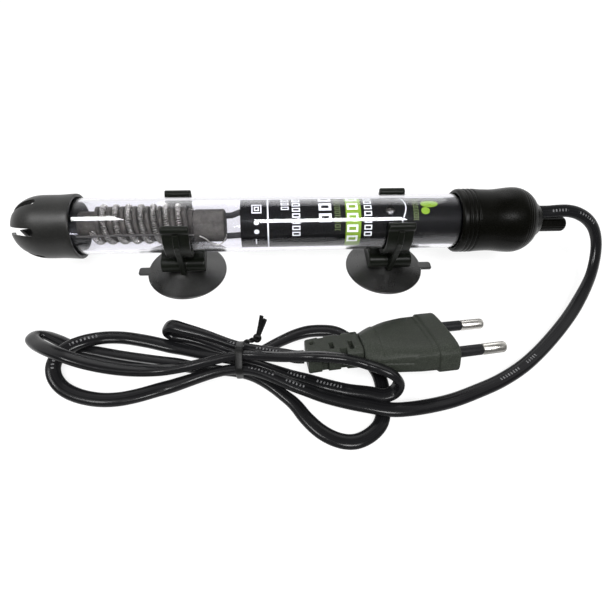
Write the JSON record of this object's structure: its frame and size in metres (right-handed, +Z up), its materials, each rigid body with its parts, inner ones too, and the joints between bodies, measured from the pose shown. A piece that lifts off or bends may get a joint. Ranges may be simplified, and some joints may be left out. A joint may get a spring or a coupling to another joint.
{
  "type": "submersible aquarium heater",
  "caption": "Glass tube heater with a wound element, guard cap, sealed end with a setting knob, two suction-cup clips and a tied mains cord with a two-pin plug.",
  "frame": {"origin": "under the middle of the heater's length, on the surface that the suction cups stand on; the cord isn't counted", "axes": "+X along the tube towards the knob, +Z up through the clips, -Y towards the tied cord"},
  "size_m": [0.2416, 0.1019, 0.0393],
  "materials": {
    "clear_glass": "clear polished",
    "black_plastic": "satin black moulding",
    "black_rubber": "smooth black rubber",
    "seal_rubber": "red-brown seal ring",
    "clip_plastic": "semi-matt black moulding",
    "cup_rubber": "soft dark grey rubber",
    "ceramic": "fired ceramic, matt",
    "heating_wire": "dull resistance wire",
    "wire_sleeve": "black braided sleeving",
    "printed_film": "black printed film",
    "board": "brown laminate",
    "bimetal": "rolled strip",
    "steel": "plain",
    "brass_metal": "turned",
    "contact_metal": "plain",
    "magnet": "ground",
    "lamp_glass": "orange tinted",
    "resistor": "lacquered",
    "copper_lead": "tinned copper",
    "core_brown": "insulation",
    "core_blue": "insulation",
    "cord_jacket": "smooth black jacket",
    "tie_wire": "black coated wire",
    "plug_plastic": "matt dark grey moulding",
    "pin_metal": "nickel plated brass"
  },
  "bodies": {
    "heater": {"glass_tube": "clear_glass", "guard_cap": "black_plastic", "seal_cap": "black_rubber", "tube_gasket": "black_rubber", "cord_gland": "black_rubber", "tube_stopper": "black_rubber", "shaft_ring": "seal_rubber", "ceramic_former": "ceramic", "ceramic_head": "ceramic", "thermostat_base": "ceramic", "heating_coil": "heating_wire", "return_wire": "heating_wire", "tail_wire": "heating_wire", "lead_sleeve_upper": "wire_sleeve", "lead_sleeve_lower": "wire_sleeve", "label_sleeve": "printed_film", "switch_board": "board", "bimetal_strip": "bimetal", "strip_clamp": "steel", "contact_fixed": "contact_metal", "contact_moving": "contact_metal", "snap_magnet": "magnet", "indicator_lamp": "lamp_glass", "lamp_resistor": "resistor", "lamp_lead": "copper_lead", "core_line": "core_brown", "core_neutral": "core_blue", "cord_lead": "cord_jacket", "cord_hank": "cord_jacket", "cord_tie": "tie_wire", "plug_body": "plug_plastic", "strain_relief": "plug_plastic", "pin_sleeve_1": "plug_plastic", "pin_sleeve_2": "plug_plastic", "plug_pin_1": "pin_metal", "plug_pin_2": "pin_metal"},
    "knob": {"temperature_knob": "black_plastic", "knob_shaft": "steel", "adjust_cam": "brass_metal"},
    "clip_left": {"clip_left": "clip_plastic"},
    "clip_right": {"clip_right": "clip_plastic"},
    "cup_left": {"suction_cup_left": "cup_rubber"},
    "cup_right": {"suction_cup_right": "cup_rubber"}
  },
  "joints": [
    {"name": "clip_left_slide", "type": "slide", "parent": "heater", "child": "clip_left", "axis": [1, 0, 0], "range_m": [-0.03, 0.024]},
    {"name": "clip_right_slide", "type": "slide", "parent": "heater", "child": "clip_right", "axis": [1, 0, 0], "range_m": [-0.016, 0.017]},
    {"name": "cup_left_swivel", "type": "hinge", "parent": "clip_left", "child": "cup_left", "pos_m": [-0.0487, 0, 0.005], "axis": [0, 0, 1], "continuous": true},
    {"name": "cup_right_swivel", "type": "hinge", "parent": "clip_right", "child": "cup_right", "pos_m": [0.0385, 0, 0.005], "axis": [0, 0, 1], "continuous": true},
    {"name": "knob_turn", "type": "hinge", "parent": "heater", "child": "knob", "pos_m": [0.0994, 0.0001, 0.0234], "axis": [1, 0, 0], "range_deg": [-135, 135]}
  ]
}
